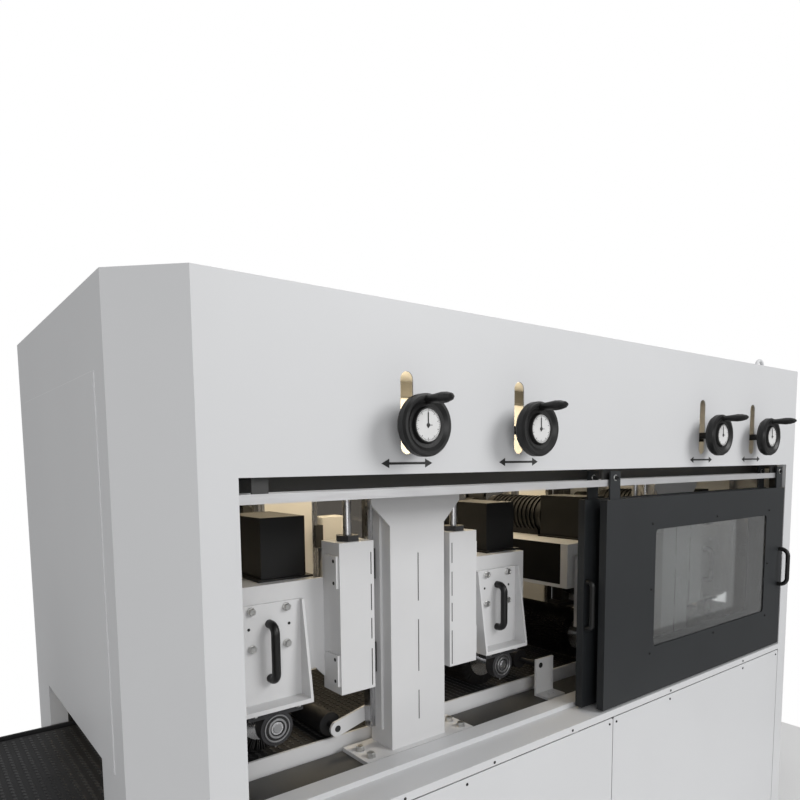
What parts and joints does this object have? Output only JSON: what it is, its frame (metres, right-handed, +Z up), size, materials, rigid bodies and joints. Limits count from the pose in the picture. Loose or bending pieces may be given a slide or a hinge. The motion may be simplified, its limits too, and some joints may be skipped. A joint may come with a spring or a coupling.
{
  "type": "brushing machine",
  "caption": "In-line roller brushing machine with a belt conveyor, four height-adjustable brush heads, handwheels and sliding safety doors.",
  "frame": {"origin": "centre of the footprint on the floor, midway between the grips' tips in front and the housing's back", "axes": "+Z up, X along the conveyor, +X towards the outfeed, -Y towards the front with the doors and handwheels"},
  "size_m": [3.866, 1.4969, 2.22],
  "materials": {
    "housing_paint": "satin",
    "frame_paint": "satin",
    "black_paint": "satin",
    "bright_steel": "satin",
    "cast_iron": "matte",
    "track_aluminium": "satin",
    "belt_rubber": "matte",
    "black_plastic": "matte",
    "bristle_filament": "matte",
    "window_pane": "gloss"
  },
  "bodies": {
    "root": {"base_frame": "frame_paint", "levelling_feet": "bright_steel", "end_covers": "housing_paint", "front_surround": "housing_paint", "roof_panel": "housing_paint", "lower_front_panels": "housing_paint", "rear_wall": "housing_paint", "rear_windows": "window_pane", "main_posts": "housing_paint", "guide_rails_and_nuts": "bright_steel", "door_track": "track_aluminium", "conveyor_frame": "housing_paint", "conveyor_belt": "belt_rubber", "roller_brackets": "housing_paint"},
    "drive_drum_body": {"drive_drum": "bright_steel"},
    "tail_drum_body": {"tail_drum": "bright_steel"},
    "pressure_roller_1_body": {"pressure_roller_1": "belt_rubber"},
    "pressure_roller_2_body": {"pressure_roller_2": "belt_rubber"},
    "front_door": {"front_door_leaf": "frame_paint", "front_door_window": "window_pane", "front_door_handle": "black_plastic"},
    "rear_door": {"rear_door_leaf": "frame_paint", "rear_door_window": "window_pane", "rear_door_handle": "black_plastic"},
    "head_1": {"head_1_body": "housing_paint", "head_1_drive": "black_paint", "head_1_bracket": "housing_paint", "head_1_handle": "black_plastic", "head_1_castings": "cast_iron"},
    "brush_1": {"head_1_brush_core": "bright_steel", "head_1_bristles": "bristle_filament"},
    "handwheel_1": {"head_1_handwheel": "black_plastic"},
    "screw_1": {"head_1_lift_screw": "bright_steel"},
    "head_2": {"head_2_body": "housing_paint", "head_2_drive": "black_paint", "head_2_bracket": "housing_paint", "head_2_handle": "black_plastic", "head_2_castings": "cast_iron"},
    "brush_2": {"head_2_brush_core": "bright_steel", "head_2_bristles": "bristle_filament"},
    "handwheel_2": {"head_2_handwheel": "black_plastic"},
    "screw_2": {"head_2_lift_screw": "bright_steel"},
    "head_3": {"head_3_body": "housing_paint", "head_3_drive": "black_paint", "head_3_bracket": "housing_paint", "head_3_handle": "black_plastic", "head_3_castings": "cast_iron"},
    "brush_3": {"head_3_brush_core": "bright_steel", "head_3_bristles": "bristle_filament"},
    "handwheel_3": {"head_3_handwheel": "black_plastic"},
    "screw_3": {"head_3_lift_screw": "bright_steel"},
    "head_4": {"head_4_body": "housing_paint", "head_4_drive": "black_paint", "head_4_bracket": "housing_paint", "head_4_handle": "black_plastic", "head_4_castings": "cast_iron"},
    "brush_4": {"head_4_brush_core": "bright_steel", "head_4_bristles": "bristle_filament"},
    "handwheel_4": {"head_4_handwheel": "black_plastic"},
    "screw_4": {"head_4_lift_screw": "bright_steel"}
  },
  "joints": [
    {"name": "handwheel_1_turn", "type": "hinge", "parent": "head_1", "child": "handwheel_1", "pos_m": [-0.864, -0.645, 1.836], "axis": [0, -1, 0], "range_deg": [-720, 7200]},
    {"name": "head_1_lift", "type": "slide", "parent": "root", "child": "head_1", "axis": [0, 0, 1], "range_m": [-0.01, 0.1]},
    {"name": "lift_screw_1_turn", "type": "hinge", "parent": "head_1", "child": "screw_1", "pos_m": [-0.864, -0.298, 1.7], "axis": [0, 0, 1], "range_deg": [-720, 7200]},
    {"name": "brush_1_spin", "type": "hinge", "parent": "head_1", "child": "brush_1", "pos_m": [-1.1, 0.085, 1.032], "axis": [0, 1, 0], "continuous": true},
    {"name": "handwheel_2_turn", "type": "hinge", "parent": "head_2", "child": "handwheel_2", "pos_m": [-0.456, -0.645, 1.836], "axis": [0, -1, 0], "range_deg": [-720, 7200]},
    {"name": "head_2_lift", "type": "slide", "parent": "root", "child": "head_2", "axis": [0, 0, 1], "range_m": [-0.01, 0.1]},
    {"name": "lift_screw_2_turn", "type": "hinge", "parent": "head_2", "child": "screw_2", "pos_m": [-0.456, -0.298, 1.7], "axis": [0, 0, 1], "range_deg": [-720, 7200]},
    {"name": "brush_2_spin", "type": "hinge", "parent": "head_2", "child": "brush_2", "pos_m": [-0.22, 0.085, 1.032], "axis": [0, 1, 0], "continuous": true},
    {"name": "handwheel_3_turn", "type": "hinge", "parent": "head_3", "child": "handwheel_3", "pos_m": [0.568, -0.645, 1.836], "axis": [0, -1, 0], "range_deg": [-720, 7200]},
    {"name": "head_3_lift", "type": "slide", "parent": "root", "child": "head_3", "axis": [0, 0, 1], "range_m": [-0.01, 0.1]},
    {"name": "lift_screw_3_turn", "type": "hinge", "parent": "head_3", "child": "screw_3", "pos_m": [0.568, -0.298, 1.7], "axis": [0, 0, 1], "range_deg": [-720, 7200]},
    {"name": "brush_3_spin", "type": "hinge", "parent": "head_3", "child": "brush_3", "pos_m": [0.332, 0.085, 1.032], "axis": [0, 1, 0], "continuous": true},
    {"name": "handwheel_4_turn", "type": "hinge", "parent": "head_4", "child": "handwheel_4", "pos_m": [0.976, -0.645, 1.836], "axis": [0, -1, 0], "range_deg": [-720, 7200]},
    {"name": "head_4_lift", "type": "slide", "parent": "root", "child": "head_4", "axis": [0, 0, 1], "range_m": [-0.01, 0.1]},
    {"name": "lift_screw_4_turn", "type": "hinge", "parent": "head_4", "child": "screw_4", "pos_m": [0.976, -0.298, 1.7], "axis": [0, 0, 1], "range_deg": [-720, 7200]},
    {"name": "brush_4_spin", "type": "hinge", "parent": "head_4", "child": "brush_4", "pos_m": [1.212, 0.085, 1.032], "axis": [0, 1, 0], "continuous": true},
    {"name": "drive_drum_spin", "type": "hinge", "parent": "root", "child": "drive_drum_body", "pos_m": [1.877, 0.085, 0.864], "axis": [0, 1, 0], "continuous": true},
    {"name": "tail_drum_spin", "type": "hinge", "parent": "root", "child": "tail_drum_body", "pos_m": [-1.877, 0.085, 0.864], "axis": [0, 1, 0], "continuous": true},
    {"name": "pressure_roller_1_spin", "type": "hinge", "parent": "root", "child": "pressure_roller_1_body", "pos_m": [-0.885, 0.085, 0.962], "axis": [0, 1, 0], "continuous": true},
    {"name": "pressure_roller_2_spin", "type": "hinge", "parent": "root", "child": "pressure_roller_2_body", "pos_m": [-0.038, 0.085, 0.998], "axis": [0, 1, 0], "continuous": true},
    {"name": "front_door_slide", "type": "slide", "parent": "root", "child": "front_door", "axis": [-1, 0, 0], "range_m": [0, 1.28]},
    {"name": "rear_door_slide", "type": "slide", "parent": "root", "child": "rear_door", "axis": [-1, 0, 0], "range_m": [-0.03, 1.25]}
  ],
  "couplings": [
    {"joint": "handwheel_1_turn", "follows": "head_1_lift", "rad_per_m": 1256.6},
    {"joint": "lift_screw_1_turn", "follows": "head_1_lift", "rad_per_m": 1256.6},
    {"joint": "handwheel_2_turn", "follows": "head_2_lift", "rad_per_m": 1256.6},
    {"joint": "lift_screw_2_turn", "follows": "head_2_lift", "rad_per_m": 1256.6},
    {"joint": "handwheel_3_turn", "follows": "head_3_lift", "rad_per_m": 1256.6},
    {"joint": "lift_screw_3_turn", "follows": "head_3_lift", "rad_per_m": 1256.6},
    {"joint": "handwheel_4_turn", "follows": "head_4_lift", "rad_per_m": 1256.6},
    {"joint": "lift_screw_4_turn", "follows": "head_4_lift", "rad_per_m": 1256.6},
    {"joint": "tail_drum_spin", "follows": "drive_drum_spin", "ratio": 1}
  ]
}
